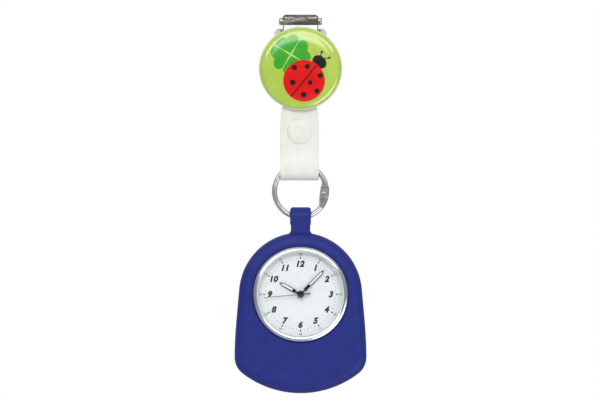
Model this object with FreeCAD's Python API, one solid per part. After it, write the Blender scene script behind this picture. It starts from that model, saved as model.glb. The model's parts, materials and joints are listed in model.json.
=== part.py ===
import FreeCAD, Part
import math
import os
from FreeCAD import Vector

# Fob watch on a clip. Millimetres. +Z up, +X right, the front faces -Y.
# The origin is the middle of the clip's jaw gap.

os.makedirs("parts", exist_ok=True)

# ---- driving dimensions ----
HANG_Y = 0.9            # plane in which the ring and the watch hang

# clip
PLATE_HALF = 5.5
PLATE_T = 0.7
PLATE_BACK = -0.25
PLATE_TOP = 1.9
PLATE_BOTTOM = -20.2
PIN_Y = 2.2
PIN_R = 0.75
PIN_HALF = 6.7
EAR_R = 1.75
BAR_Y = 0.65
BAR_Z = -22.5
BAR_R = 0.6
LEVER_T = 0.7
LEVER_BOTTOM = -18.0
COVER_HALF = 8.1
COVER_TOP = -2.2
JAW_R = 1.95

# badge
BADGE_Z = -14.84
BADGE_R = 13.05
BADGE_FACE_R = 10.8
BADGE_RISE = 1.1
BADGE_BACK = -1.25
BADGE_PLATE_R = 12.3
BADGE_APEX = -5.15

# strap
STRAP_T = 0.75
STRAP_FRONT_Y = -0.475
STRAP_WRAP_R = 1.125
STRAP_TOP_HALF = 4.0
STRAP_X = -0.3          # the strap sits a little to the left on its bar
BEND_TOP = -38.8
FOLD_Z = -46.55
FOLD_R = 2.675
SNAP_Z = -34.4
TAIL_Y = 2.475
TAIL_TOP = -29.3
TAIL_PIVOT_Z = -46.15
EYELET_Z = -25.3

# ring
RING_Z = -52.9
RING_R = 8.1
WIRE_R = 0.8
RIVET_X = 7.3
RIVET_Z = -54.2

# sleeve
LOOP_Z = -60.9
LOOP_HOLE_R = 1.6
LOOP_R = 3.0
DIAL_Z = -84.9
SLEEVE_TOP_R = 19.13
SLEEVE_HALF_T = 5.2
SLEEVE_LIP_R = 15.0
SLEEVE_REAR_R = 11.6

# case
CASE_R = 15.8
BEZEL_R = 14.87
BEZEL_IN = 13.5
DIAL_R = 13.4
REHAUT_IN = 12.55
HOLDER_IN = 11.5

# gears
MOD_A = 0.10
MOD_B = 0.09
MOD_C = 0.085
MOD_D = 0.125
INTER_A = 3.0
ROTOR_A = 2.1
THIRD_A = 3.06
MINUTE_A = 2.0
INTER_DEG = 320.0
ROTOR_DEG = 320.0
THIRD_DEG = 200.0
MINUTE_DEG = 250.0


# ---- helpers ----
def box(x0, x1, y0, y1, z0, z1):
    return Part.makeBox(x1 - x0, y1 - y0, z1 - z0, Vector(x0, y0, z0))


def cyl_x(r, x0, x1, y, z):
    return Part.makeCylinder(r, x1 - x0, Vector(x0, y, z), Vector(1, 0, 0))


def cyl_y(r, y0, y1, x=0.0, z=0.0):
    return Part.makeCylinder(r, y1 - y0, Vector(x, y0, z), Vector(0, 1, 0))


def polar(cx, cz, r, deg):
    a = math.radians(deg)
    return (cx + r * math.cos(a), cz + r * math.sin(a))


def xz(p, y=0.0):
    return Vector(p[0], y, p[1])


def yz(p, x=0.0):
    return Vector(x, p[0], p[1])


def line(a, b):
    return Part.LineSegment(a, b).toShape()


def arc3(a, b, c):
    return Part.Arc(a, b, c).toShape()


def polygon_y(points, y0, y1):
    """Closed XZ polygon pushed along Y."""
    face = Part.Face(Part.makePolygon([xz(p, y0) for p in points + points[:1]]))
    return face.extrude(Vector(0, y1 - y0, 0))


def polygon_x(points, x0, x1):
    """Closed YZ polygon pushed along X."""
    face = Part.Face(Part.makePolygon([yz(p, x0) for p in points + points[:1]]))
    return face.extrude(Vector(x1 - x0, 0, 0))


def turned(points, z=DIAL_Z, x=0.0):
    """Solid of revolution about a Y axis from (radius, y) points."""
    ring = [Vector(x + r, y, z) for r, y in points]
    face = Part.Face(Part.makePolygon(ring + ring[:1]))
    return face.revolve(Vector(x, 0, z), Vector(0, 1, 0), 360)


def fuse(shapes):
    out = shapes[0]
    for shape in shapes[1:]:
        out = out.fuse(shape)
    return out.removeSplitter()


def edges_along_y_at(shape, xs, tol=0.05):
    found = []
    for edge in shape.Edges:
        b = edge.BoundBox
        if b.YLength > 0.1 and b.XLength < tol and b.ZLength < tol:
            if min(abs(b.Center.x - x) for x in xs) < tol:
                found.append(edge)
    return found


# ---- clip ----
def clip_frame():
    front = PLATE_BACK - PLATE_T
    plate = box(-PLATE_HALF, PLATE_HALF, front, PLATE_BACK, PLATE_BOTTOM, PLATE_TOP)
    corners = [e for e in edges_along_y_at(plate, [-PLATE_HALF, PLATE_HALF])
               if e.BoundBox.Center.z < PLATE_TOP + 1]
    plate = plate.makeFillet(1.1, corners)
    for sx in (-1, 1):
        x0 = min(sx * 2.2, sx * 5.0)
        slot = box(x0, x0 + 2.8, front - 1, PLATE_BACK + 1, 1.02, 1.3)
        lip = cyl_x(0.26, x0, x0 + 2.8, front, 0.82).common(box(-6, 6, front - 1, front + 0.3, 0, 2))
        plate = plate.fuse(lip).cut(slot)
    shapes = [plate]
    for sx in (-1, 1):
        x0 = min(sx * (PLATE_HALF - PLATE_T), sx * PLATE_HALF)
        x1 = x0 + PLATE_T
        ear = cyl_x(EAR_R, x0, x1, PIN_Y, 0.0)
        ear = ear.fuse(box(x0, x1, front + 0.1, PIN_Y, -EAR_R, 0.9))
        ear = ear.cut(cyl_x(PIN_R, x0 - 1, x1 + 1, PIN_Y, 0.0))
        shapes.append(ear)
        low = cyl_x(1.1, x0, x1, BAR_Y, BAR_Z)
        low = low.fuse(box(x0, x1, front, BAR_Y, BAR_Z - 0.9, PLATE_BOTTOM + 1.5))
        low = low.fuse(box(x0, x1, BAR_Y - 0.1, BAR_Y + 1.1, BAR_Z, PLATE_BOTTOM + 1.5))
        low = low.cut(cyl_x(BAR_R, x0 - 1, x1 + 1, BAR_Y, BAR_Z))
        shapes.append(low)
    return fuse(shapes)


def clip_pivot_pin():
    pin = cyl_x(PIN_R, -PIN_HALF + 0.6, PIN_HALF - 0.6, PIN_Y, 0.0)
    heads = []
    for sx in (-1, 1):
        x0 = min(sx * PLATE_HALF, sx * PIN_HALF)
        head = cyl_x(1.15, x0, x0 + PIN_HALF - PLATE_HALF, PIN_Y, 0.0)
        rim = [e for e in head.Edges if abs(e.BoundBox.Center.x - sx * PIN_HALF) < 0.01
               and e.BoundBox.XLength < 0.01]
        heads.append(head.makeFillet(0.45, rim))
    return fuse([pin] + heads)


def strap_bar():
    bar = cyl_x(BAR_R, -PLATE_HALF - 0.2, PLATE_HALF + 0.2, BAR_Y, BAR_Z)
    return bar.makeChamfer(0.12, [e for e in bar.Edges if e.BoundBox.XLength < 0.01])


def clip_lever():
    tube = cyl_x(1.5, -4.65, 4.65, PIN_Y, 0.0)
    sheet = box(-4.65, 4.65, PIN_Y + 1.5 - LEVER_T, PIN_Y + 1.5, LEVER_BOTTOM, 0.0)
    y0 = PIN_Y + 1.5 - LEVER_T
    tab = polygon_x([(y0, LEVER_BOTTOM), (y0 + LEVER_T, LEVER_BOTTOM + 0.3),
                     (y0 + 2.6, LEVER_BOTTOM - 1.6), (y0 + 2.1, LEVER_BOTTOM - 2.1)],
                    -3.8, 3.8)
    lever = fuse([tube, sheet, tab])
    return lever.cut(cyl_x(PIN_R + 0.06, -6, 6, PIN_Y, 0.0))


def clip_jaw_pad():
    pad = cyl_x(JAW_R, -4.4, 4.4, PIN_Y, 0.0).cut(cyl_x(1.5, -6, 6, PIN_Y, 0.0))
    pad = pad.common(box(-6, 6, PIN_Y - 3, PIN_Y - 0.75, -1.5, 1.5))
    for k in (-2, -1, 0, 1, 2):
        a = math.radians(180 + k * 18)
        y = PIN_Y + (JAW_R + 0.08) * math.cos(a)
        z = (JAW_R + 0.08) * math.sin(a)
        pad = pad.cut(cyl_x(0.2, -6, 6, y, z))
    return pad


def lever_cover():
    y0 = PIN_Y + 1.5
    plate = box(-COVER_HALF, COVER_HALF, y0, y0 + 1.0, LEVER_BOTTOM + 1.0, COVER_TOP)
    edges = edges_along_y_at(plate, [-COVER_HALF, COVER_HALF])
    plate = plate.makeFillet(1.4, edges)
    rim = [e for e in plate.Edges if abs(e.BoundBox.YMin - (y0 + 1.0)) < 0.001]
    return plate.makeFillet(0.35, rim)


def cover_rivets():
    y0 = PIN_Y + 1.5
    rivets = []
    for x in (-5.9, 5.9):
        head = cyl_y(0.35, y0 - 0.25, y0, x, COVER_TOP - 0.75)
        rivets.append(head)
    return Part.makeCompound(rivets)


# ---- badge ----
def dome_arcs(depth):
    """Half profile of the badge moved inwards by depth: its face, then its rolled rim."""
    face_r = (BADGE_FACE_R ** 2 + BADGE_RISE ** 2) / (2 * BADGE_RISE)
    tilt = math.asin(BADGE_FACE_R / face_r)
    rim_r = (BADGE_R - BADGE_FACE_R) / (1 - math.sin(tilt))
    face_at = Vector(0, BADGE_APEX + face_r, BADGE_Z)
    rim_at = Vector(BADGE_R - rim_r, BADGE_APEX + BADGE_RISE + rim_r * math.cos(tilt), BADGE_Z)
    rim_end = math.acos((rim_at.y - BADGE_BACK) / rim_r)
    arcs = []
    for centre, radius, a0, a1 in ((face_at, face_r, 0, tilt), (rim_at, rim_r, tilt, rim_end)):
        r = radius - depth
        p = [centre + Vector(r * math.sin(a), -r * math.cos(a), 0) for a in (a0, (a0 + a1) / 2, a1)]
        arcs.append(arc3(p[0], p[1], p[2]))
    return arcs


def dome_skin(start, thick):
    """Layer of the badge lying from start to start + thick under the outside."""
    face_1, rim_1 = dome_arcs(start)
    face_2, rim_2 = dome_arcs(start + thick)
    foot = line(rim_1.valueAt(rim_1.LastParameter), rim_2.valueAt(rim_2.LastParameter))
    tip = line(Vector(0, BADGE_APEX + start + thick, BADGE_Z), Vector(0, BADGE_APEX + start, BADGE_Z))
    wire = Part.Wire([face_1, rim_1, foot, rim_2, face_2, tip])
    return Part.Face(wire).revolve(Vector(0, 0, BADGE_Z), Vector(0, 1, 0), 360)


def badge_back_plate():
    plate = cyl_y(BADGE_PLATE_R, BADGE_BACK - 0.3, BADGE_BACK, 0, BADGE_Z)
    return plate.cut(cyl_y(6.9, BADGE_BACK - 1, BADGE_BACK + 1, 0, BADGE_Z))


def badge_glue_pad():
    y1 = PLATE_BACK - PLATE_T
    pad = box(-5.0, 5.0, BADGE_BACK, y1, BADGE_Z - 5.4, BADGE_Z + 9.8)
    return pad


def badge_inner_disc():
    return cyl_y(11.3, BADGE_BACK - 0.7, BADGE_BACK - 0.3, 0, BADGE_Z)


# ---- strap ----
def strap_outline(z_top, z_bottom):
    """Front view of the strap as a closed XZ polygon."""
    table = [(-20.9, STRAP_TOP_HALF), (-24.6, STRAP_TOP_HALF), (-26.2, 5.0),
             (-27.4, 5.42), (-29.5, 5.85), (-32.0, 6.08), (-34.5, 6.15),
             (-38.0, 6.13), (-42.0, 6.05), (-46.0, 5.96), (-50.2, 5.9)]
    right = [(h, z) for z, h in table]
    left = [(-h, z) for h, z in reversed(right)]
    shape = polygon_y(right + left, -6, 10)
    return shape.common(box(-9, 9, -6, 10, z_bottom, z_top))


def ribbon(wire, half):
    """Solid band of the strap's thickness round a YZ centre line."""
    outer = wire.makeOffset2D(STRAP_T / 2, openResult=True)
    face = outer.makeOffset2D(-STRAP_T, fill=True, openResult=True)
    if abs(face.Area - wire.Length * STRAP_T) > 0.05 * face.Area:
        raise ValueError("strap ribbon is not even")
    return face.extrude(Vector(2 * half, 0, 0))


def s_bend(y0, z0, y1, z1):
    """Two tangent arcs from (y0, z0) to (y1, z1), upright at both ends."""
    dy = y1 - y0
    dz = abs(z1 - z0)
    radius = (dy * dy + dz * dz) / (4 * abs(dy))
    turn = math.asin((dz / 2) / radius)
    side = 1 if dy > 0 else -1
    down = 1 if z1 > z0 else -1
    q = (y0 + side * radius * (1 - math.cos(turn / 2)), z0 + down * radius * math.sin(turn / 2))
    m = ((y0 + y1) / 2, (z0 + z1) / 2)
    w = (y1 - side * radius * (1 - math.cos(turn / 2)), z1 - down * radius * math.sin(turn / 2))
    x = -10.0
    return [arc3(yz((y0, z0), x), yz(q, x), yz(m, x)), arc3(yz(m, x), yz(w, x), yz((y1, z1), x))]


def strap_front_shape():
    x = -10.0
    back = BAR_Y + STRAP_WRAP_R
    front = BAR_Y - STRAP_WRAP_R
    fold_front = HANG_Y - FOLD_R
    fold_back = HANG_Y + FOLD_R
    parts = [line(yz((back, -26.95), x), yz((back, BAR_Z), x))]
    parts.append(arc3(yz((back, BAR_Z), x), yz((BAR_Y, BAR_Z + STRAP_WRAP_R), x),
                      yz((front, BAR_Z), x)))
    parts.append(line(yz((front, BAR_Z), x), yz((front, BEND_TOP), x)))
    parts += s_bend(front, BEND_TOP, fold_front, FOLD_Z)
    parts.append(arc3(yz((fold_front, FOLD_Z), x), yz((HANG_Y, FOLD_Z - FOLD_R), x),
                      yz((fold_back, FOLD_Z), x)))
    band = ribbon(Part.Wire(parts), 10.0)
    band = band.common(strap_outline(-20.0, -50.4))
    band = band.cut(cyl_y(1.0, -5, 5, 0, EYELET_Z))
    return band.cut(cyl_y(0.6, -5, 1.2, 0, SNAP_Z))


def strap_tail_shape():
    x = -10.0
    y_low = HANG_Y + FOLD_R
    parts = [line(yz((y_low, TAIL_PIVOT_Z), x), yz((y_low, -45.4), x))]
    parts += s_bend(y_low, -45.4, TAIL_Y, BEND_TOP)
    parts.append(line(yz((TAIL_Y, BEND_TOP), x), yz((TAIL_Y, TAIL_TOP), x)))
    band = ribbon(Part.Wire(parts), 10.0)
    band = band.fuse(cyl_x(STRAP_T / 2, -10, 10, y_low, TAIL_PIVOT_Z))
    band = band.common(strap_outline(TAIL_TOP + 1, -50.4))
    top = box(-9, 9, -6, 10, -60, TAIL_TOP - 1.5)
    top = top.fuse(box(-4.25, 4.25, -6, 10, TAIL_TOP - 2, TAIL_TOP + 1))
    for sx in (-1, 1):
        top = top.fuse(cyl_y(1.5, -6, 10, sx * 4.25, TAIL_TOP - 1.5))
    band = band.common(top.removeSplitter())
    return band.cut(cyl_y(0.6, 0, 6, 0, SNAP_Z))


def strap_eyelet():
    y0 = BAR_Y - STRAP_WRAP_R - STRAP_T / 2
    y1 = BAR_Y + STRAP_WRAP_R + STRAP_T / 2
    tube = cyl_y(1.0, y0 - 0.12, y1 + 0.12, 0, EYELET_Z)
    rim0 = cyl_y(1.6, y0 - 0.14, y0, 0, EYELET_Z)
    rim1 = cyl_y(1.6, y1, y1 + 0.14, 0, EYELET_Z)
    return fuse([tube, rim0, rim1]).cut(cyl_y(0.7, y0 - 1, y1 + 1, 0, EYELET_Z))


def button_cap(y_face, y_top, r=4.0):
    """Domed cap whose flat side lies on y_face, with a dimple in the middle."""
    s = 1 if y_top > y_face else -1
    h = abs(y_top - y_face)
    pts = [(0.0, 0.0), (r, 0.0), (r, 0.25 * h), (r - 0.2, 0.5 * h), (r - 0.6, 0.72 * h),
           (r - 1.2, 0.9 * h), (r - 2.0, h), (1.15, h), (0.95, 0.8 * h), (0.0, 0.76 * h)]
    return turned([(a, y_face + s * b) for a, b in pts], SNAP_Z)


def snap_cap():
    face = STRAP_FRONT_Y - STRAP_T / 2
    post = cyl_y(0.6, face - 0.1, face + STRAP_T + 0.5, 0, SNAP_Z)
    return fuse([button_cap(face, face - 0.8), post])


def snap_stud():
    y0 = STRAP_FRONT_Y + STRAP_T / 2
    flange = cyl_y(3.5, y0, y0 + 0.45, 0, SNAP_Z)
    nose = cyl_y(1.65, y0 + 0.4, y0 + 1.7, 0, SNAP_Z)
    bead = turned([(1.0, y0 + 1.1), (1.8, y0 + 1.4), (1.65, y0 + 1.7), (1.0, y0 + 1.7)], SNAP_Z)
    return fuse([flange, nose, bead]).cut(cyl_y(0.6, y0 - 1, y0 + 0.5, 0, SNAP_Z))


def snap_socket():
    y1 = TAIL_Y - STRAP_T / 2
    cup = turned([(0.6, y1), (3.5, y1), (3.5, y1 - 0.7), (3.1, y1 - 1.2), (2.15, y1 - 1.2),
                  (2.15, y1 - 0.22), (0.6, y1 - 0.22)], SNAP_Z)
    return cup


def snap_back_cap():
    face = TAIL_Y + STRAP_T / 2
    post = cyl_y(0.6, face - STRAP_T - 0.22, face + 0.1, 0, SNAP_Z)
    return fuse([button_cap(face, face + 1.0), post])


# ---- ring ----
def sector(a0, a1, r0, r1, half_y):
    """Pie slice about the ring's centre, between two radii."""
    n = max(2, int(abs(a1 - a0) / 12) + 1)
    steps = [a0 + (a1 - a0) * k / n for k in range(n + 1)]
    grow = 1.0 / math.cos(math.radians((a1 - a0) / n / 2))
    outer = [polar(0, RING_Z, r1 * grow, a) for a in steps]
    inner = [polar(0, RING_Z, r0, a) for a in reversed(steps)] if r0 > 0 else [(0.0, RING_Z)]
    return polygon_y(outer + inner, HANG_Y - half_y, HANG_Y + half_y)


def half_disc(r, half_y):
    return cyl_y(r, HANG_Y - half_y, HANG_Y + half_y, 0, RING_Z)


def wire_piece(a0, a1):
    torus = Part.makeTorus(RING_R, WIRE_R, Vector(0, HANG_Y, RING_Z), Vector(0, 1, 0))
    return torus.common(sector(a0, a1, 0.0, 11.0, 2.0))


def cheek_band(a_low, a_high, r_in, r_out, half_y):
    """Flat widened band at the hinge, tapering at the low end."""
    def pt(r, a):
        return xz(polar(0, RING_Z, r, a), HANG_Y - half_y)
    out = arc3(pt(r_out, a_low), pt(r_out, (a_low + a_high) / 2), pt(r_out, a_high))
    top = line(pt(r_out, a_high), pt(r_in + 0.35, a_high))
    inner = arc3(pt(r_in + 0.35, a_high), pt(r_in, a_high * 0.35 + a_low * 0.65),
                 pt(7.35, a_low))
    end = line(pt(7.35, a_low), pt(r_out, a_low))
    face = Part.Face(Part.Wire([out, top, inner, end]))
    return face.extrude(Vector(0, 2 * half_y, 0))


def rivet_disc(r, half_y):
    return cyl_y(r, HANG_Y - half_y, HANG_Y + half_y, RIVET_X, RIVET_Z)


def ring_lower_half():
    wire = wire_piece(166.6, 326.0)
    hook = wire_piece(163.4, 168.0).cut(half_disc(RING_R + 0.05, 3.0))
    cheek = cheek_band(-38.0, 14.5, 6.25, 8.92, 1.15)
    cheek = cheek.common(rivet_disc(3.1, 3.0).fuse(sector(-45, -12, 5.0, 10.0, 3.0)))
    inner_gap = box(4.0, 12.0, HANG_Y - 0.47, HANG_Y + 0.47, RIVET_Z - 0.2, RIVET_Z + 6)
    inner_gap = inner_gap.fuse(rivet_disc(1.75, 0.47))
    cheek = cheek.cut(inner_gap)
    cheek = cheek.cut(rivet_disc(0.62, 3.0))
    return fuse([wire, hook, cheek])


def ring_upper_half():
    wire = wire_piece(14.0, 162.9)
    tip = wire_piece(160.0, 166.1).common(half_disc(RING_R - 0.05, 3.0))
    wire = wire.fuse(tip).cut(rivet_disc(3.22, 3.0))
    tongue = cheek_band(-6.0, 26.0, 6.95, 8.75, 0.4)
    tongue = tongue.cut(sector(-40, -2, 0, 12, 3.0)).fuse(rivet_disc(1.4, 0.4))
    tongue = tongue.cut(rivet_disc(0.55, 3.0))
    return fuse([wire, tongue])


def ring_rivet():
    shank = rivet_disc(0.55, 1.3)
    heads = []
    for s in (-1, 1):
        y0 = HANG_Y + s * 1.2
        y1 = HANG_Y + s * 1.55
        head = cyl_y(1.05, min(y0, y1), max(y0, y1), RIVET_X, RIVET_Z)
        rim = [e for e in head.Edges if abs(e.BoundBox.Center.y - y1) < 0.01
               and e.BoundBox.YLength < 0.01]
        heads.append(head.makeFillet(0.22, rim))
    return fuse([shank] + heads)


# ---- silicone sleeve ----
def sleeve_body():
    y0 = HANG_Y - SLEEVE_HALF_T
    def v(p):
        return xz(p, y0)
    a_top = 5.0
    p0 = polar(0, DIAL_Z, SLEEVE_TOP_R, a_top)
    t = (math.sin(math.radians(a_top)), -math.cos(math.radians(a_top)))
    corner = (14.0, -104.45)
    p3 = (20.5, corner[1])
    tip = (17.957, -109.608)
    mid_c = polar(corner[0], corner[1], 6.5, -26.25)
    bez = Part.BezierCurve()
    bez.setPoles([v(p0), v((p0[0] + 7 * t[0], p0[1] + 7 * t[1])), v((20.5, -97.6)), v(p3)])
    right = [arc3(v((0, DIAL_Z + SLEEVE_TOP_R)), v(polar(0, DIAL_Z, SLEEVE_TOP_R, 47.5)), v(p0)),
             bez.toShape(),
             arc3(v(p3), v(mid_c), v(tip)),
             arc3(v(tip), v(polar(0, -86.2, 29.5, -71.25)), v((0, -115.7)))]
    left = [e.mirror(Vector(0, 0, 0), Vector(1, 0, 0)) for e in right]
    wire = Part.Wire(Part.__sortEdges__(right + left))
    solid = Part.Face(wire).extrude(Vector(0, 2 * SLEEVE_HALF_T, 0))
    rims = [e for e in solid.Edges if e.BoundBox.YLength < 0.001]
    return solid.makeFillet(3.2, rims)


def sleeve_loop():
    neck = box(-3.015, 3.015, HANG_Y - 2.9, HANG_Y + 2.9, -68.6, LOOP_Z)
    flares = []
    for s in (-1, 1):
        z_low = DIAL_Z + math.sqrt(SLEEVE_TOP_R ** 2 - 4.6 ** 2) - 0.6
        pts = [(s * 2.9, z_low - 1.6), (s * 2.9, z_low + 2.3), (s * 3.08, z_low + 1.5),
               (s * 3.5, z_low + 0.85), (s * 4.2, z_low + 0.55), (s * 5.2, z_low + 0.2),
               (s * 5.2, z_low - 1.6)]
        flares.append(polygon_y(pts, HANG_Y - 2.7, HANG_Y + 2.7))
    eye = cyl_x(LOOP_R, -3.25, 3.25, HANG_Y, LOOP_Z)
    rims = [e for e in eye.Edges if e.BoundBox.XLength < 0.01]
    eye = eye.makeFillet(0.9, rims)
    return fuse([eye, neck] + flares)


def silicone_sleeve():
    body = fuse([sleeve_body(), sleeve_loop()])
    y = HANG_Y
    cavity = turned([(0, y - 6), (SLEEVE_LIP_R + 0.5, y - 6), (SLEEVE_LIP_R, y - 4.9),
                     (SLEEVE_LIP_R, y - 4.0), (CASE_R, y - 4.0), (CASE_R, y + 3.6),
                     (SLEEVE_REAR_R, y + 3.6), (SLEEVE_REAR_R, y + 6), (0, y + 6)])
    pocket = box(14.0, 18.15, y - 2.0, y + 2.0, DIAL_Z - 2.0, DIAL_Z + 2.0)
    bore = cyl_x(LOOP_HOLE_R, -9, 9, HANG_Y, LOOP_Z)
    return body.cut(cavity).cut(pocket).cut(bore)


# ---- watch case ----
def case_middle():
    y = HANG_Y
    ring = turned([(13.6, y - 4.0), (CASE_R, y - 4.0), (CASE_R, y + 2.6), (14.6, y + 2.6),
                   (14.6, y + 1.9), (13.6, y + 1.9)])
    return ring.cut(cyl_x(0.95, 12.0, 17.0, y, DIAL_Z))


def bezel():
    y = HANG_Y
    return turned([(BEZEL_IN, y - 4.0), (BEZEL_R, y - 4.0), (BEZEL_R, y - 5.0),
                   (BEZEL_R - 0.12, y - 5.4), (BEZEL_R - 0.4, y - 5.75), (BEZEL_R - 0.8, y - 5.95),
                   (BEZEL_IN + 0.25, y - 6.02), (BEZEL_IN, y - 5.95)])


def crystal():
    y = HANG_Y
    return turned([(0, y - 6.3), (12.6, y - 6.22), (13.25, y - 5.98), (13.25, y - 5.1), (0, y - 5.1)])


def crystal_gasket():
    y = HANG_Y
    return turned([(13.25, y - 5.85), (BEZEL_IN, y - 5.85), (BEZEL_IN, y - 5.1), (13.25, y - 5.1)])


def rehaut_ring():
    y = HANG_Y
    return turned([(REHAUT_IN, y - 3.4), (13.6, y - 3.4), (13.6, y - 4.0), (BEZEL_IN, y - 4.0),
                   (BEZEL_IN, y - 5.1), (13.2, y - 5.1), (REHAUT_IN, y - 3.6)])


def dial():
    y = HANG_Y
    disc = cyl_y(DIAL_R, y - 3.4, y - 3.0, 0, DIAL_Z)
    return disc.cut(cyl_y(0.85, y - 4, y, 0, DIAL_Z))


def movement_holder():
    y = HANG_Y
    ring = turned([(HOLDER_IN, y - 3.0), (13.6, y - 3.0), (13.6, y + 1.5), (HOLDER_IN, y + 1.5)])
    return ring.cut(cyl_x(0.6, 10.0, 15.0, y, DIAL_Z))


def case_back():
    y = HANG_Y
    return turned([(0, y + 2.6), (14.6, y + 2.6), (CASE_R - 0.1, y + 2.6), (CASE_R - 0.1, y + 3.0),
                   (14.9, y + 3.6), (11.4, y + 3.6), (11.1, y + 3.9), (0, y + 3.9)])


def case_back_gasket():
    y = HANG_Y
    return turned([(13.8, y + 1.9), (14.6, y + 1.9), (14.6, y + 2.6), (13.8, y + 2.6)])


def crown_tube():
    y = HANG_Y
    tube = cyl_x(0.95, 13.7, 15.7, y, DIAL_Z)
    return tube.cut(cyl_x(0.62, 13, 17, y, DIAL_Z))


# ---- movement ----
def spot(a, deg):
    return polar(0, DIAL_Z, a, deg)


INTER = spot(INTER_A, INTER_DEG)
ROTOR = polar(INTER[0], INTER[1], ROTOR_A, ROTOR_DEG)
THIRD = spot(THIRD_A, THIRD_DEG)
MINUTE = spot(MINUTE_A, MINUTE_DEG)
BATTERY = spot(6.9, 65)
SCREWS = (spot(7.6, 120), spot(7.6, 225), spot(8.3, 15))


def mesh_angle(a1, z1, phi, z2):
    """Turn of gear 2 (degrees) that puts a gap where gear 1 has a tooth."""
    p1 = (phi - a1) * z1 / 360.0
    return phi + 180.0 - (360.0 / z2) * (0.5 - p1)


def gear(m, z, angle, c, w0, w1):
    """Spur gear about a Y axis through c, tooth centred at angle."""
    rp = m * z / 2.0
    ro = rp + 0.75 * m
    rr = rp - 1.1 * m
    pitch = 360.0 / z
    pts = []
    for k in range(z):
        a = angle + k * pitch
        w_root = 0.27 * pitch
        w_mid = 0.185 * pitch
        w_tip = 0.075 * pitch
        pts += [polar(c[0], c[1], rr, a - w_root), polar(c[0], c[1], rp, a - w_mid),
                polar(c[0], c[1], ro, a - w_tip), polar(c[0], c[1], ro, a + w_tip),
                polar(c[0], c[1], rp, a + w_mid), polar(c[0], c[1], rr, a + w_root)]
    return polygon_y(pts, HANG_Y + w0, HANG_Y + w1)


def axle(c, r, w0, w1):
    return cyl_y(r, HANG_Y + w0, HANG_Y + w1, c[0], c[1])


CENTRE = (0.0, DIAL_Z)
A_SEC = 0.0
A_INTER_PINION = mesh_angle(A_SEC, 40, INTER_DEG, 8)
A_INTER_WHEEL = A_INTER_PINION
A_ROTOR = mesh_angle(A_INTER_WHEEL, 36, ROTOR_DEG, 6)
A_SEC_PINION = 0.0
A_THIRD_WHEEL = mesh_angle(A_SEC_PINION, 8, THIRD_DEG, 60)
A_THIRD_PINION = A_THIRD_WHEEL
A_CENTRE = mesh_angle(A_THIRD_PINION, 8, THIRD_DEG + 180.0, 64)
A_CANNON = 0.0
A_MINUTE = mesh_angle(A_CANNON, 10, MINUTE_DEG, 30)
A_MINUTE_PINION = A_MINUTE
A_HOUR = mesh_angle(A_MINUTE_PINION, 8, MINUTE_DEG + 180.0, 32)


def seconds_wheel():
    wheel = gear(MOD_D, 40, A_SEC, CENTRE, -0.2, -0.05)
    for k in range(4):
        p = polar(0, DIAL_Z, 1.45, 45 + 90 * k)
        wheel = wheel.cut(axle(p, 0.6, -1, 1))
    pinion = gear(MOD_B, 8, A_SEC_PINION, CENTRE, -0.58, -0.15)
    arbor = axle(CENTRE, 0.1, -4.8, 0.33)
    return fuse([wheel, pinion, arbor])


def rotor():
    pinion = gear(MOD_A, 6, A_ROTOR, ROTOR, -1.05, -0.7)
    magnet = axle(ROTOR, 0.75, -0.72, -0.1)
    arbor = axle(ROTOR, 0.09, -1.75, 0.33)
    return fuse([pinion, magnet, arbor])


def intermediate_wheel():
    wheel = gear(MOD_A, 36, A_INTER_WHEEL, INTER, -0.95, -0.8)
    for k in range(4):
        p = polar(INTER[0], INTER[1], 1.1, 20 + 90 * k)
        wheel = wheel.cut(axle(p, 0.38, -2, 1))
    pinion = gear(MOD_D, 8, A_INTER_PINION, INTER, -0.28, 0.08)
    arbor = axle(INTER, 0.15, -1.75, 0.33)
    return fuse([wheel, pinion, arbor])


def third_wheel():
    wheel = gear(MOD_B, 60, A_THIRD_WHEEL, THIRD, -0.5, -0.35)
    for k in range(5):
        p = polar(THIRD[0], THIRD[1], 1.55, 72 * k)
        wheel = wheel.cut(axle(p, 0.55, -2, 1))
    pinion = gear(MOD_C, 8, A_THIRD_PINION, THIRD, -1.3, -0.45)
    arbor = axle(THIRD, 0.15, -1.75, 0.33)
    return fuse([wheel, pinion, arbor])


def centre_wheel():
    wheel = gear(MOD_C, 64, A_CENTRE, CENTRE, -1.2, -1.05)
    for k in range(5):
        p = polar(0, DIAL_Z, 1.6, 36 + 72 * k)
        wheel = wheel.cut(axle(p, 0.55, -2, 1))
    tube = axle(CENTRE, 0.27, -2.3, -1.0)
    return fuse([wheel, tube]).cut(axle(CENTRE, 0.16, -3, 1))


def cannon_pinion():
    pinion = gear(MOD_A, 10, A_CANNON, CENTRE, -2.55, -2.3)
    tube = axle(CENTRE, 0.27, -4.45, -2.3)
    return fuse([pinion, tube]).cut(axle(CENTRE, 0.16, -5, 1))


def minute_wheel():
    wheel = gear(MOD_A, 30, A_MINUTE, MINUTE, -2.5, -2.35)
    pinion = gear(MOD_A, 8, A_MINUTE_PINION, MINUTE, -2.9, -2.45)
    arbor = axle(MINUTE, 0.15, -2.93, -1.65)
    return fuse([wheel, pinion, arbor])


def hour_wheel():
    wheel = gear(MOD_A, 32, A_HOUR, CENTRE, -2.85, -2.7)
    tube = axle(CENTRE, 0.6, -4.05, -2.7)
    return fuse([wheel, tube]).cut(axle(CENTRE, 0.34, -5, 1))


def mainplate():
    plate = axle(CENTRE, HOLDER_IN, -2.2, -1.55)
    holes = [axle(CENTRE, 0.33, -3, 0), axle(ROTOR, 0.13, -3, 0), axle(INTER, 0.19, -3, 0),
             axle(THIRD, 0.19, -3, 0), axle(MINUTE, 0.19, -3, 0)]
    for hole in holes:
        plate = plate.cut(hole)
    pads = [axle(c, 1.1, -1.6, 0.15) for c in SCREWS]
    post = axle(spot(4.6, 110), 0.9, -1.6, 0.15)
    return fuse([plate] + pads + [post])


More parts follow.
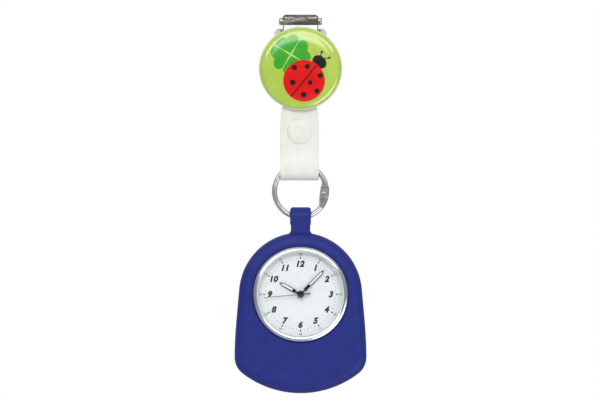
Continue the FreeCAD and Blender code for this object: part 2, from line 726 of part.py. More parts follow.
def train_bridge():
    pts = [spot(8.8, a) for a in (110, 130, 180, 215, 235, 280, 335, 350)]
    pts += [spot(9.7, 5), spot(9.7, 25), spot(3.2, 40)]
    bridge = polygon_y(pts, HANG_Y + 0.15, HANG_Y + 0.5).cut(axle(BATTERY, 3.65, 0, 1))
    for c, r in ((CENTRE, 0.14), (ROTOR, 0.13), (INTER, 0.19), (THIRD, 0.19)):
        bridge = bridge.cut(axle(c, r, 0, 1))
    for c in SCREWS:
        bridge = bridge.cut(axle(c, 0.35, 0, 1))
    return bridge


def movement_screws():
    screws = []
    for c in SCREWS:
        head = axle(c, 0.75, 0.5, 0.8)
        slot = box(c[0] - 1, c[0] + 1, HANG_Y + 0.65, HANG_Y + 1, c[1] - 0.1, c[1] + 0.1)
        shank = axle(c, 0.35, 0.15, 0.55)
        screws.append(fuse([head, shank]).cut(slot))
    return Part.makeCompound(screws)


def local_bar(along, across, half_a, half_b, w0, w1):
    """Box laid square to the rotor's direction, centred along/across from the rotor."""
    u = math.radians(ROTOR_DEG)
    ax = (math.cos(u), math.sin(u))
    bx = (-math.sin(u), math.cos(u))
    pts = []
    for i, j in ((-1, -1), (1, -1), (1, 1), (-1, 1)):
        a = along + i * half_a
        b = across + j * half_b
        pts.append((ROTOR[0] + a * ax[0] + b * bx[0], ROTOR[1] + a * ax[1] + b * bx[1]))
    return polygon_y(pts, HANG_Y + w0, HANG_Y + w1)


def stator():
    bar = local_bar(0.0, 0.0, 1.45, 4.6, -0.65, -0.3)
    bar = fuse([bar, local_bar(2.3, 3.9, 1.3, 0.7, -0.65, -0.3),
                local_bar(2.3, -3.9, 1.3, 0.7, -0.65, -0.3)])
    return bar.cut(axle(ROTOR, 0.98, -2, 1))


def coil_core():
    return local_bar(3.0, 0.0, 0.45, 4.6, -0.3, 0.05)


def coil_winding():
    u = math.radians(ROTOR_DEG)
    d = Vector(-math.sin(u), 0, math.cos(u))
    c = Vector(ROTOR[0] + 3.0 * math.cos(u), HANG_Y - 0.125, ROTOR[1] + 3.0 * math.sin(u))
    start = c - d * 2.9
    tube = Part.makeCylinder(0.85, 5.8, start, d)
    near = box(-30, 30, HANG_Y - 1.2, HANG_Y + 0.12, -120, -60)
    return tube.common(near).cut(coil_core()).cut(stator())


def circuit_board():
    plate = axle(CENTRE, 10.6, -1.55, -1.35)
    keep = polygon_y([spot(14, 190), spot(14, 222), spot(14, 250), spot(4.9, 246), spot(5.6, 200)],
                     HANG_Y - 2, HANG_Y)
    board = plate.common(keep)
    return board.cut(axle(SCREWS[1], 1.1, -3, 3))


def quartz_can():
    c0 = spot(8.9, 205)
    d = Vector(math.cos(math.radians(295)), 0, math.sin(math.radians(295)))
    return Part.makeCylinder(0.6, 3.4, Vector(c0[0], HANG_Y - 0.75, c0[1]), d)


def battery():
    can = axle(BATTERY, 3.4, -1.45, 0.95)
    rims = [e for e in can.Edges if e.BoundBox.YLength < 0.01]
    return can.makeFillet(0.25, rims)


def battery_clamp():
    ends = ((4.5, 195), (4.5, 215), (1.6, 285), (1.6, 125))
    strip = polygon_y([polar(BATTERY[0], BATTERY[1], r, a) for r, a in ends],
                      HANG_Y + 0.95, HANG_Y + 1.1)
    foot = axle(polar(BATTERY[0], BATTERY[1], 4.2, 205), 0.45, 0.5, 1.0)
    return fuse([strip, foot])


# ---- hands ----
def hand(length, tail, half, y0, y1, hub, bore, clock_deg):
    """Baton hand about the dial centre, pointing clock_deg clockwise from 12."""
    t = half
    pts = [(-0.22, 0.0), (-0.22, 1.9), (-t, 1.95), (-t, length - 1.3), (0.0, length),
           (t, length - 1.3), (t, 1.95), (0.22, 1.9), (0.22, 0.0)]
    if tail > 0:
        pts = pts + [(0.22, -tail), (-0.22, -tail)]
    a = math.radians(clock_deg)
    turn = [(x * math.cos(a) + y * math.sin(a), DIAL_Z - x * math.sin(a) + y * math.cos(a))
            for x, y in pts]
    blade = polygon_y(turn, y0, y1)
    boss = cyl_y(hub, y0, y1, 0, DIAL_Z)
    return fuse([blade, boss]).cut(cyl_y(bore, y0 - 1, y1 + 1, 0, DIAL_Z))


def hour_hand():
    return hand(7.6, 0, 0.5, HANG_Y - 4.05, HANG_Y - 3.87, 1.15, 0.6, 299.4)


def minute_hand():
    return hand(10.56, 0, 0.45, HANG_Y - 4.45, HANG_Y - 4.27, 1.0, 0.27, 44.2)


def second_hand():
    a = math.radians(264.9)
    pts = [(-0.1, 11.25), (0.1, 11.25), (0.14, 0), (0.3, -1.2), (0.3, -3.15), (-0.3, -3.15),
           (-0.3, -1.2), (-0.14, 0)]
    turn = [(x * math.cos(a) + y * math.sin(a), DIAL_Z - x * math.sin(a) + y * math.cos(a))
            for x, y in pts]
    y0 = HANG_Y - 4.8
    blade = polygon_y(turn, y0, y0 + 0.12)
    boss = cyl_y(1.1, y0 - 0.12, y0 + 0.12, 0, DIAL_Z)
    return fuse([blade, boss]).cut(cyl_y(0.1, y0 - 0.01, y0 + 2, 0, DIAL_Z))


# ---- crown ----
def crown():
    y = HANG_Y
    knob = cyl_x(1.6, 16.15, 17.4, y, DIAL_Z)
    for k in range(20):
        a = math.radians(18 * k)
        groove = cyl_x(0.12, 16, 18, y + 1.63 * math.cos(a), DIAL_Z + 1.63 * math.sin(a))
        knob = knob.cut(groove)
    return knob


def stem():
    return cyl_x(0.3, 10.2, 16.15, HANG_Y, DIAL_Z)


def crown_seal():
    tube = cyl_x(0.56, 14.0, 16.0, HANG_Y, DIAL_Z)
    return tube.cut(cyl_x(0.35, 13, 18, HANG_Y, DIAL_Z))


NODES = {
    "clip_frame": clip_frame, "clip_pivot_pin": clip_pivot_pin, "strap_bar": strap_bar,
    "badge_shell": lambda: dome_skin(0.27, 0.28),
    "badge_print": lambda: dome_skin(0.15, 0.12),
    "badge_film": lambda: dome_skin(0.0, 0.15),
    "badge_back_plate": badge_back_plate, "badge_inner_disc": badge_inner_disc,
    "badge_glue_pad": badge_glue_pad,
    "clip_lever": clip_lever, "clip_jaw_pad": clip_jaw_pad, "lever_cover": lever_cover,
    "cover_rivets": cover_rivets,
    "strap_front": strap_front_shape, "strap_eyelet": strap_eyelet, "snap_cap": snap_cap,
    "snap_stud": snap_stud,
    "strap_tail": strap_tail_shape, "snap_socket": snap_socket, "snap_back_cap": snap_back_cap,
    "ring_upper_half": ring_upper_half, "ring_rivet": ring_rivet,
    "ring_lower_half": ring_lower_half,
    "silicone_sleeve": silicone_sleeve, "case_middle": case_middle, "bezel": bezel,
    "crystal": crystal, "crystal_gasket": crystal_gasket, "rehaut_ring": rehaut_ring,
    "dial": dial, "movement_holder": movement_holder, "case_back": case_back,
    "case_back_gasket": case_back_gasket, "crown_tube": crown_tube,
    "mainplate": mainplate, "train_bridge": train_bridge, "movement_screws": movement_screws,
    "stator": stator, "coil_core": coil_core, "coil_winding": coil_winding,
    "circuit_board": circuit_board, "quartz_can": quartz_can, "battery": battery,
    "battery_clamp": battery_clamp,
    "seconds_wheel": seconds_wheel, "second_hand": second_hand, "rotor": rotor,
    "intermediate_wheel": intermediate_wheel, "third_wheel": third_wheel,
    "centre_wheel": centre_wheel, "cannon_pinion": cannon_pinion, "minute_hand": minute_hand,
    "minute_wheel": minute_wheel, "hour_wheel": hour_wheel, "hour_hand": hour_hand,
    "crown": crown, "stem": stem, "crown_seal": crown_seal,
}

STRAP_NODES = ("strap_front", "strap_eyelet", "snap_cap", "snap_stud", "strap_tail", "snap_socket",
               "snap_back_cap")

for node, make in NODES.items():
    shape = make()
    if node in STRAP_NODES:
        shape = shape.translated(Vector(STRAP_X, 0, 0))
    print(node, round(shape.Volume, 3), len(shape.Solids), shape.isValid())
    shape.exportStep("parts/" + node + ".step")
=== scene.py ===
import json
import math

import bmesh
import bpy
from mathutils import Matrix, Vector


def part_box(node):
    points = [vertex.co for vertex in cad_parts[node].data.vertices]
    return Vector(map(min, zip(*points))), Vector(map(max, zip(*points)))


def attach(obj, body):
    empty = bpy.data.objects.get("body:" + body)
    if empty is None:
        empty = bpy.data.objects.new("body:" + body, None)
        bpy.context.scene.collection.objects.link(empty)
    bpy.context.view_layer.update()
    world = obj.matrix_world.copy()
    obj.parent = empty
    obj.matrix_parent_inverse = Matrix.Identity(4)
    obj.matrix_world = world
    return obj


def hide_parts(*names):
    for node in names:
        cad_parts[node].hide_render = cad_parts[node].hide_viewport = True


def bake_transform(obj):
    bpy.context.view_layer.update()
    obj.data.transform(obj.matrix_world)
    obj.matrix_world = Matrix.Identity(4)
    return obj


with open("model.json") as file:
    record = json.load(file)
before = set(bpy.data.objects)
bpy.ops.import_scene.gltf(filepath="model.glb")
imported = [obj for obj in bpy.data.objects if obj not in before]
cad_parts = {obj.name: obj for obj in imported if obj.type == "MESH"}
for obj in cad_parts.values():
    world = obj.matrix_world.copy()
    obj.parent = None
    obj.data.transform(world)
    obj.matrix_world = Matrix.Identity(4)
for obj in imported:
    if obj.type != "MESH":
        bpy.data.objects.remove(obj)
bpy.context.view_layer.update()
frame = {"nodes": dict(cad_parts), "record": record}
NODES = frame["nodes"]
MM = 0.001


# ---------------------------------------------------------------- frame facts
def middle(node):
    low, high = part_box(node)
    return [(a + b) / 2 for a, b in zip(low, high)]


DIAL_LOW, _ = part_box("dial")
DIAL_X, _, DIAL_Z = middle("dial")
DIAL_FACE = DIAL_LOW[1]
BADGE_X, _, BADGE_Z = middle("badge_film")
BADGE_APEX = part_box("badge_film")[0][1]
BADGE_R = (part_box("badge_film")[1][0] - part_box("badge_film")[0][0]) / 2
_, BAR_Y, BAR_Z = middle("strap_bar")
STRAP_LOW, STRAP_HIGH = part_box("strap_front")
TAIL_LOW, TAIL_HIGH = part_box("strap_tail")

STRAP_T = 0.75 * MM
WRAP_R = 1.125 * MM
FOLD_R = (STRAP_HIGH[1] - STRAP_LOW[1] - STRAP_T) / 2
FOLD_Y = (STRAP_HIGH[1] + STRAP_LOW[1]) / 2
FOLD_Z = STRAP_LOW[2] + STRAP_T / 2 + FOLD_R
STRAP_X = (TAIL_LOW[0] + TAIL_HIGH[0]) / 2
BEND_TOP = -38.8 * MM
FLAP_Y = TAIL_LOW[1] + STRAP_T / 2
FLAP_TOP = TAIL_HIGH[2]
DOME_R = 53.57 * MM


# ---------------------------------------------------------------- materials
def lin(r, g, b, a=1.0):
    """Screen colour, 0 to 255, as linear colour."""
    out = []
    for c in (r, g, b):
        c /= 255.0
        out.append(c / 12.92 if c <= 0.04045 else ((c + 0.055) / 1.055) ** 2.4)
    return (out[0], out[1], out[2], a)


def blank(name):
    mat = bpy.data.materials.new(name)
    mat.use_nodes = True
    tree = mat.node_tree
    tree.nodes.clear()
    out = tree.nodes.new("ShaderNodeOutputMaterial")
    return mat, tree, out


def add(tree, kind, **values):
    node = tree.nodes.new("ShaderNode" + kind)
    for key, value in values.items():
        if hasattr(node, key):
            setattr(node, key, value)
        else:
            node.inputs[key.replace("_", " ")].default_value = value
    return node


def noise(tree, scale, detail=3.0, rough=0.55, stretch=(1, 1, 1)):
    coords = add(tree, "TexCoord")
    mapping = add(tree, "Mapping")
    mapping.inputs["Scale"].default_value = stretch
    tex = add(tree, "TexNoise")
    tex.inputs["Scale"].default_value = scale
    tex.inputs["Detail"].default_value = detail
    tex.inputs["Roughness"].default_value = rough
    tree.links.new(coords.outputs["Object"], mapping.inputs["Vector"])
    tree.links.new(mapping.outputs["Vector"], tex.inputs["Vector"])
    return tex


def ramp(tree, source, low, high, out_low, out_high):
    """Number from low..high mapped to out_low..out_high."""
    node = add(tree, "MapRange")
    node.inputs["From Min"].default_value = low
    node.inputs["From Max"].default_value = high
    node.inputs["To Min"].default_value = out_low
    node.inputs["To Max"].default_value = out_high
    tree.links.new(source, node.inputs["Value"])
    return node.outputs["Result"]


def two_colours(tree, source, one, two, low=0.35, high=0.65):
    mix = add(tree, "ValToRGB")
    mix.color_ramp.elements[0].position = low
    mix.color_ramp.elements[0].color = one
    mix.color_ramp.elements[1].position = high
    mix.color_ramp.elements[1].color = two
    tree.links.new(source, mix.inputs["Fac"])
    return mix.outputs["Color"]


def surface(name, one, two, rough, metallic=0.0, scale=600.0, stretch=(1, 1, 1), bump=0.0,
            bump_scale=2500.0, rough_spread=0.06, **sockets):
    """Principled material with mottled colour, uneven roughness and a fine bump."""
    mat, tree, out = blank(name)
    bsdf = add(tree, "BsdfPrincipled")
    bsdf.inputs["Metallic"].default_value = metallic
    for key, value in sockets.items():
        bsdf.inputs[key.replace("_", " ")].default_value = value
    patch = noise(tree, scale, 4.0, 0.6, stretch)
    tree.links.new(two_colours(tree, patch.outputs["Fac"], one, two), bsdf.inputs["Base Color"])
    fine = noise(tree, bump_scale, 3.0, 0.6, stretch)
    tree.links.new(ramp(tree, fine.outputs["Fac"], 0.3, 0.7, rough - rough_spread,
                        rough + rough_spread), bsdf.inputs["Roughness"])
    if bump:
        lift = add(tree, "Bump")
        lift.inputs["Strength"].default_value = bump
        lift.inputs["Distance"].default_value = 0.00002
        tree.links.new(fine.outputs["Fac"], lift.inputs["Height"])
        tree.links.new(lift.outputs["Normal"], bsdf.inputs["Normal"])
    tree.links.new(bsdf.outputs["BSDF"], out.inputs["Surface"])
    return mat


def wavy_metal(name, one, two, rough):
    """Polished plated sheet with the long shallow waves that stamping leaves."""
    mat, tree, out = blank(name)
    bsdf = add(tree, "BsdfPrincipled")
    bsdf.inputs["Metallic"].default_value = 1.0
    patch = noise(tree, 900, 4.0, 0.6, (6, 1, 1))
    tree.links.new(two_colours(tree, patch.outputs["Fac"], one, two), bsdf.inputs["Base Color"])
    tree.links.new(ramp(tree, patch.outputs["Fac"], 0.3, 0.7, rough - 0.04, rough + 0.06),
                   bsdf.inputs["Roughness"])
    wave = noise(tree, 260, 1.5, 0.45, (0.45, 1, 1.3))
    lift = add(tree, "Bump")
    lift.inputs["Strength"].default_value = 1.0
    lift.inputs["Distance"].default_value = 0.0005
    tree.links.new(wave.outputs["Fac"], lift.inputs["Height"])
    grain = add(tree, "Bump")
    grain.inputs["Strength"].default_value = 0.3
    grain.inputs["Distance"].default_value = 0.00002
    tree.links.new(patch.outputs["Fac"], grain.inputs["Height"])
    tree.links.new(lift.outputs["Normal"], grain.inputs["Normal"])
    tree.links.new(grain.outputs["Normal"], bsdf.inputs["Normal"])
    tree.links.new(bsdf.outputs["BSDF"], out.inputs["Surface"])
    return mat


def clear_cover(name, rough, tint, ior=1.5, strength=1.0):
    """Clear glass or film: see-through, with a Fresnel reflection."""
    mat, tree, out = blank(name)
    through = add(tree, "BsdfTransparent")
    through.inputs["Color"].default_value = tint
    gloss = add(tree, "BsdfGlossy")
    gloss.inputs["Color"].default_value = (1, 1, 1, 1)
    gloss.inputs["Roughness"].default_value = rough
    fresnel = add(tree, "Fresnel")
    fresnel.inputs["IOR"].default_value = ior
    smear = noise(tree, 350.0, 2.0)
    outer = add(tree, "Math", operation="SUBTRACT")
    outer.inputs[0].default_value = 1.0
    tree.links.new(add(tree, "NewGeometry").outputs["Backfacing"], outer.inputs[1])
    facing = add(tree, "Math", operation="MULTIPLY")
    tree.links.new(fresnel.outputs["Fac"], facing.inputs[0])
    tree.links.new(outer.outputs["Value"], facing.inputs[1])
    amount = add(tree, "Math", operation="MULTIPLY")
    tree.links.new(facing.outputs["Value"], amount.inputs[0])
    tree.links.new(ramp(tree, smear.outputs["Fac"], 0.3, 0.7, 0.9 * strength, strength),
                   amount.inputs[1])
    mix = add(tree, "MixShader")
    tree.links.new(amount.outputs["Value"], mix.inputs["Fac"])
    tree.links.new(through.outputs["BSDF"], mix.inputs[1])
    tree.links.new(gloss.outputs["BSDF"], mix.inputs[2])
    tree.links.new(mix.outputs["Shader"], out.inputs["Surface"])
    return mat


MAT = {
    "nickel_steel": wavy_metal("nickel_steel", lin(188, 181, 174), lin(206, 199, 192), 0.2),
    "tinplate": surface("tinplate", lin(200, 200, 196), lin(214, 214, 210), 0.22, 1.0, 700),
    "badge_paper": surface("badge_paper", lin(166, 194, 62), lin(176, 203, 74), 0.55, 0.0, 260,
                           bump=0.05),
    "badge_film": clear_cover("badge_film", 0.04, (1.0, 1.0, 0.98, 1), 1.8),
    "card": surface("card", lin(214, 206, 190), lin(226, 219, 204), 0.85, 0.0, 1500, bump=0.5),
    "foam_tape": surface("foam_tape", lin(228, 228, 224), lin(238, 238, 236), 0.9, 0.0, 2500,
                         bump=0.6),
    "pad_plastic": surface("pad_plastic", lin(238, 242, 240), lin(246, 248, 247), 0.34, 0.0, 500,
                           bump=0.08, Transmission_Weight=0.35),
    "dark_steel": surface("dark_steel", lin(50, 50, 50), lin(70, 70, 68), 0.35, 1.0, 900),
    "vinyl": surface("vinyl", lin(222, 221, 215), lin(229, 228, 223), 0.36, 0.0, 420, (1, 1, 0.35),
                     0.1, 900, Specular_IOR_Level=0.3),
    "eyelet_brass": surface("eyelet_brass", lin(200, 190, 160), lin(214, 205, 178), 0.25, 1.0),
    "snap_plastic": surface("snap_plastic", lin(222, 221, 215), lin(229, 228, 222), 0.34, 0.0,
                            500, bump=0.06, Specular_IOR_Level=0.35),
    "ring_steel": surface("ring_steel", lin(208, 208, 213), lin(224, 224, 229), 0.33, 1.0, 1500,
                          bump=0.15, bump_scale=2200, rough_spread=0.08),
    "silicone": surface("silicone", lin(26, 38, 119), lin(30, 43, 125), 0.5, 0.0, 220, bump=0.16,
                        bump_scale=5200, rough_spread=0.05, Specular_IOR_Level=0.28),
    "case_steel": surface("case_steel", lin(186, 187, 188), lin(203, 204, 205), 0.3, 1.0, 900,
                          (1, 1, 1), 0.3),
    "polished_steel": surface("polished_steel", lin(208, 218, 234), lin(214, 224, 240), 0.12, 1.0,
                              700, rough_spread=0.04),
    "crystal_glass": clear_cover("crystal_glass", 0.02, (0.995, 1.0, 0.998, 1), 1.45, 0.55),
    "gasket_clear": surface("gasket_clear", lin(224, 228, 226), lin(234, 238, 236), 0.3),
    "rehaut_paint": surface("rehaut_paint", lin(170, 180, 174), lin(180, 190, 184), 0.38, 0.0,
                            500),
    "dial_paint": surface("dial_paint", lin(229, 232, 234), lin(234, 237, 239), 0.5, 0.0, 350,
                          bump=0.06, bump_scale=6000),
    "holder_plastic": surface("holder_plastic", lin(225, 225, 220), lin(235, 235, 231), 0.5),
    "seal_rubber": surface("seal_rubber", lin(24, 24, 25), lin(34, 34, 35), 0.6, bump=0.3),
    "plate_brass": surface("plate_brass", lin(206, 186, 134), lin(221, 202, 150), 0.32, 1.0, 1500,
                           (1, 1, 8), 0.3),
    "screw_steel": surface("screw_steel", lin(176, 178, 182), lin(196, 198, 202), 0.25, 1.0),
    "iron_alloy": surface("iron_alloy", lin(160, 161, 165), lin(176, 177, 181), 0.4, 1.0),
    "copper_wire": surface("copper_wire", lin(190, 100, 58), lin(212, 122, 74), 0.35, 1.0, 3000,
                           (1, 1, 1), 0.6),
    "board_green": surface("board_green", lin(18, 92, 52), lin(26, 108, 62), 0.4),
    "can_steel": surface("can_steel", lin(190, 192, 194), lin(206, 208, 210), 0.28, 1.0),
    "gear_brass": surface("gear_brass", lin(214, 184, 112), lin(228, 200, 130), 0.22, 1.0),
    "gear_plastic": surface("gear_plastic", lin(232, 228, 216), lin(240, 237, 228), 0.4),
    "hand_black": surface("hand_black", lin(20, 21, 22), lin(27, 28, 29), 0.28, 0.0, 900),
    "hand_grey": surface("hand_grey", lin(126, 128, 132), lin(142, 144, 148), 0.35, 0.4, 900),
}
INK = surface("dial_ink", lin(40, 41, 44), lin(50, 51, 54), 0.45, 0.0, 3000)
INK_GREY = surface("dial_ink_grey", lin(112, 113, 120), lin(126, 127, 134), 0.5, 0.0, 3000)
LUME = surface("lume", lin(240, 242, 240), lin(246, 248, 246), 0.7, 0.0, 3000, bump=0.2)
RED = surface("print_red", lin(216, 8, 12), lin(226, 14, 18), 0.6, 0.0, 300,
              Specular_IOR_Level=0.1)
BLACK = surface("print_black", lin(16, 19, 18), lin(25, 28, 26), 0.6, 0.0, 300,
                Specular_IOR_Level=0.1)
# plain white: the backing card, and the painted highlight on the badge's rolled rim
WHITE = surface("white_card_and_painted_rim_highlight", lin(240, 241, 240), lin(246, 247, 246), 0.6, 0.0, 300,
                Specular_IOR_Level=0.1)
GREEN = surface("print_green", lin(50, 160, 34), lin(62, 168, 42), 0.6, 0.0, 300,
                Specular_IOR_Level=0.1)
PALE = surface("print_pale", lin(164, 222, 114), lin(178, 230, 130), 0.5, 0.0, 300)


def dress_frame():
    """Gives every CAD node the material of its slot."""
    slots = {s["node"]: s["material_slot"] for s in frame["record"]["subparts"]}
    for name, node in NODES.items():
        node.data.materials.clear()
        node.data.materials.append(MAT[slots[name]])
        for poly in node.data.polygons:
            poly.material_index = 0


# ---------------------------------------------------------------- mesh helpers
def mesh_object(name, bm, mat, body, smooth=True):
    mesh = bpy.data.meshes.new(name)
    bmesh.ops.recalc_face_normals(bm, faces=bm.faces)
    bm.to_mesh(mesh)
    bm.free()
    for poly in mesh.polygons:
        poly.use_smooth = smooth
    mesh.materials.append(mat)
    obj = bpy.data.objects.new(name, mesh)
    bpy.context.scene.collection.objects.link(obj)
    if body:
        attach(obj, body)
    return obj


def place(obj, body):
    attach(obj, body)
    return obj


# ---------------------------------------------------------------- dial print
def on_dial(x, z, y):
    return Vector((DIAL_X + x, y, DIAL_Z + z))


def clock(r, degrees):
    """Place on the dial at radius r, clockwise from 12."""
    a = math.radians(degrees)
    return r * math.sin(a), r * math.cos(a)


def add_plate(bm, outline, y0, y1):
    """Thin plate with this XZ outline, between two depths."""
    front = [bm.verts.new(on_dial(x, z, y0)) for x, z in outline]
    back = [bm.verts.new(on_dial(x, z, y1)) for x, z in outline]
    bm.faces.new(front)
    bm.faces.new(list(reversed(back)))
    n = len(outline)
    for k in range(n):
        bm.faces.new([front[k], back[k], back[(k + 1) % n], front[(k + 1) % n]])


def bar_outline(r0, r1, half, degrees, pointed=0.0):
    a = math.radians(degrees)
    along = (math.sin(a), math.cos(a))
    across = (math.cos(a), -math.sin(a))
    pts = [(r0, -half), (r1 - pointed, -half), (r1, 0.0), (r1 - pointed, half), (r0, half)]
    if not pointed:
        pts = [(r0, -half), (r1, -half), (r1, half), (r0, half)]
    return [(r * along[0] + w * across[0], r * along[1] + w * across[1]) for r, w in pts]


PRINT_T = 0.02 * MM


def dial_marks():
    hours = bmesh.new()
    for k in range(12):
        add_plate(hours, bar_outline(10.95 * MM, 11.62 * MM, 0.17 * MM, 30 * k),
                  DIAL_FACE - PRINT_T, DIAL_FACE)
    mesh_object("dial_hour_marks", hours, INK, "watch", False)
    dots = bmesh.new()
    for k in range(60):
        if k % 5:
            x, z = clock(10.95 * MM, 6 * k)
            ring = []
            for j in range(10):
                a = math.tau * j / 10
                ring.append((x + 0.13 * MM * math.cos(a), z + 0.13 * MM * math.sin(a)))
            add_plate(dots, ring, DIAL_FACE - PRINT_T, DIAL_FACE)
    mesh_object("dial_minute_dots", dots, INK_GREY, "watch", False)


def numerals(name, values, radius, size, shear, bold, mat):
    """Upright numerals round the dial, as thin printed solids."""
    whole = bmesh.new()
    for k, value in enumerate(values):
        text = bpy.data.curves.new("numeral", "FONT")
        text.body = str(value)
        text.size = 1.0
        text.shear = shear
        text.bevel_depth = bold
        text.bevel_resolution = 0
        text.space_character = 1.08
        text.extrude = 0.5
        holder = bpy.data.objects.new("numeral", text)
        bpy.context.scene.collection.objects.link(holder)
        bpy.context.view_layer.update()
        shape = bpy.data.meshes.new_from_object(
            holder.evaluated_get(bpy.context.evaluated_depsgraph_get()))
        bpy.data.objects.remove(holder)
        xs = [v.co.x for v in shape.vertices]
        ys = [v.co.y for v in shape.vertices]
        shift = Vector((-(min(xs) + max(xs)) / 2, -(min(ys) + max(ys)) / 2, 0))
        x, z = clock(radius, 30 * (k + 1))
        spot = on_dial(x, z, DIAL_FACE - PRINT_T / 2)
        upright = Matrix.Rotation(math.radians(90), 4, "X")
        scale = Matrix.Diagonal((size, size, PRINT_T, 1.0))
        shape.transform(Matrix.Translation(spot) @ upright @ scale @ Matrix.Translation(shift))
        whole.from_mesh(shape)
        bpy.data.meshes.remove(shape)
    return mesh_object(name, whole, mat, "watch", False)


def hand_inlay(name, node, body, r0, r1, half, degrees):
    """White inlay lying on a hand."""
    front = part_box(node)[0][1]
    bm = bmesh.new()
    add_plate(bm, bar_outline(r0 * MM, r1 * MM, half * MM, degrees, 0.35 * MM),
              front - 0.015 * MM, front + 0.01 * MM)
    mesh_object(name, bm, LUME, body, False)


def rehaut():
    """Narrow sloping ring between the bezel and the dial."""
    low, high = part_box("rehaut_ring")
    x, _, z = middle("rehaut_ring")
    outer, lip, inner = 13.52 * MM, 13.4 * MM, 13.12 * MM
    profile = [(outer, low[1]), (lip, low[1]), (inner, high[1] - PRINT_T)]
    ring = lathe("rehaut_slope", profile, (x, z), MAT["rehaut_paint"], "watch")
    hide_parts("rehaut_ring")


def hub_cap():
    """Low round cap on the middle of the hands."""
    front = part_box("second_hand")[0][1]
    bm = bmesh.new()
    profile = [(1.12, 0.02), (1.1, -0.03), (0.95, -0.07), (0.6, -0.1), (0.3, -0.11)]
    steps = 40
    rings = []
    for r, y in profile:
        ring = []
        for k in range(steps):
            a = math.tau * k / steps
            ring.append(bm.verts.new(on_dial(r * MM * math.cos(a), r * MM * math.sin(a),
                                             front + y * MM)))
        rings.append(ring)
    for one, two in zip(rings, rings[1:]):
        for k in range(steps):
            bm.faces.new([one[k], one[(k + 1) % steps], two[(k + 1) % steps], two[k]])
    bm.faces.new(rings[-1])
    bm.faces.new(list(reversed(rings[0])))
    mesh_object("hub_cap", bm, MAT["hand_black"], "seconds", True)


# ---------------------------------------------------------------- badge artwork
def lathe(name, profile, centre, mat, body, steps=128):
    """Open surface of revolution about a Y axis, from (radius, y) in metres."""
    bm = bmesh.new()
    rings = []
    for r, y in profile:
        ring = []
        for k in range(steps if r > 0 else 1):
            a = math.tau * k / steps
            ring.append(bm.verts.new((centre[0] + r * math.cos(a), y, centre[1] + r * math.sin(a))))
        rings.append(ring)
    for one, two in zip(rings, rings[1:]):
        for k in range(steps):
            n = (k + 1) % steps
            if len(one) == 1:
                bm.faces.new([one[0], two[n], two[k]])
            else:
                bm.faces.new([one[k], one[n], two[n], two[k]])
    obj = mesh_object(name, bm, mat, body, True)
    if obj.data.polygons[0].normal.y > 0:
        obj.data.flip_normals()
    return obj


def badge_profile(depth):
    """Half outline of the badge's front and rolled rim, moved inwards by depth."""
    flat = 10.8 * MM
    face = [(0.0, BADGE_APEX + depth)]
    for k in range(1, 11):
        r = flat * k / 10
        face.append((r, dome_depth(r, 0, depth)))
    start = math.asin(flat / DOME_R)
    rim = 1.95 * MM
    cx = flat - rim * math.sin(start)
    cy = dome_depth(flat, 0, 0) + rim * math.cos(start)
    stretch = (BADGE_R - cx) / rim

    def roll(a0, a1, steps):
        out = []
        for k in range(steps + 1):
            a = a0 + (a1 - a0) * k / steps
            out.append((cx + stretch * (rim - depth) * math.sin(a), cy - (rim - depth) * math.cos(a)))
        return out

    # beyond paper_edge the rolled rim is drawn white, a painted highlight for its bright reflection
    paper_edge, rim_end = math.radians(68), math.radians(117)
    return face + roll(start, paper_edge, 8)[1:], roll(paper_edge, rim_end, 9)


def badge_backing():
    """Thin white card edge that shows between the clip's plate and the badge."""
    bm = bmesh.new()
    half, top, bottom = 5.2 * MM, -1.35 * MM, -3.0 * MM
    front, back = -1.22 * MM, -0.97 * MM
    outline = [(-half, bottom), (half, bottom), (half, top), (-half, top)]
    add_plate(bm, [(x, z - DIAL_Z) for x, z in outline], front, back)
    mesh_object("badge_backing", bm, WHITE, "clip", False)


def badge_layers():
    """The badge's clear cover, its green face and its rolled rim, coloured white as a painted
    highlight for the rim's bright reflection.
    """
    paper_depth = 0.14 * MM
    centre = (BADGE_X, BADGE_Z)
    face, edge = badge_profile(0.0)
    film = lathe("badge_cover", face + edge[1:], centre, MAT["badge_film"], "clip")
    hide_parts("badge_film")
    face, edge = badge_profile(paper_depth)
    base = lathe("badge_green", face, centre, MAT["badge_paper"], "clip")
    # rolled rim drawn in plain white: a painted highlight standing in for the bright reflection along
    # the badge's edge
    rim = lathe("badge_rim_painted_highlight", edge, centre, WHITE, "clip")
    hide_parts("badge_print")
    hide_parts("badge_print")


def dome_depth(x, z, depth):
    """Place on the badge's dome, in from its front by depth."""
    r2 = x * x + z * z
    return BADGE_APEX + DOME_R - math.sqrt(DOME_R * DOME_R - r2) + depth


def badge_patch(name, outline, depth, mat):
    """Flat artwork, given in mm about the badge's centre, laid on the dome."""
    bm = bmesh.new()
    verts = [bm.verts.new((x * MM, 0.0, z * MM)) for x, z in outline]
    face = bm.faces.new(verts)
    bmesh.ops.triangulate(bm, faces=[face])
    for _ in range(6):
        long = [e for e in bm.edges if e.calc_length() > 0.9 * MM]
        if not long:
            break
        bmesh.ops.subdivide_edges(bm, edges=long, cuts=1)
        bmesh.ops.triangulate(bm, faces=bm.faces)
    for v in bm.verts:
        x, z = v.co.x, v.co.z
        v.co = Vector((BADGE_X + x, dome_depth(x, z, depth * MM), BADGE_Z + z))
    for f in bm.faces:
        f.normal_update()
        if f.normal.y > 0:
            f.normal_flip()
    mesh = bpy.data.meshes.new(name)
    bm.to_mesh(mesh)
    bm.free()
    for poly in mesh.polygons:
        poly.use_smooth = True
    mesh.materials.append(mat)
    obj = bpy.data.objects.new(name, mesh)
    bpy.context.scene.collection.objects.link(obj)
    return place(obj, "clip")


def ellipse(cx, cz, a, b, turn=0.0, steps=48):
    t = math.radians(turn)
    out = []
    for k in range(steps):
        u = math.tau * k / steps
        x, z = a * math.cos(u), b * math.sin(u)
        out.append((cx + x * math.cos(t) - z * math.sin(t), cz + x * math.sin(t) + z * math.cos(t)))
    return out


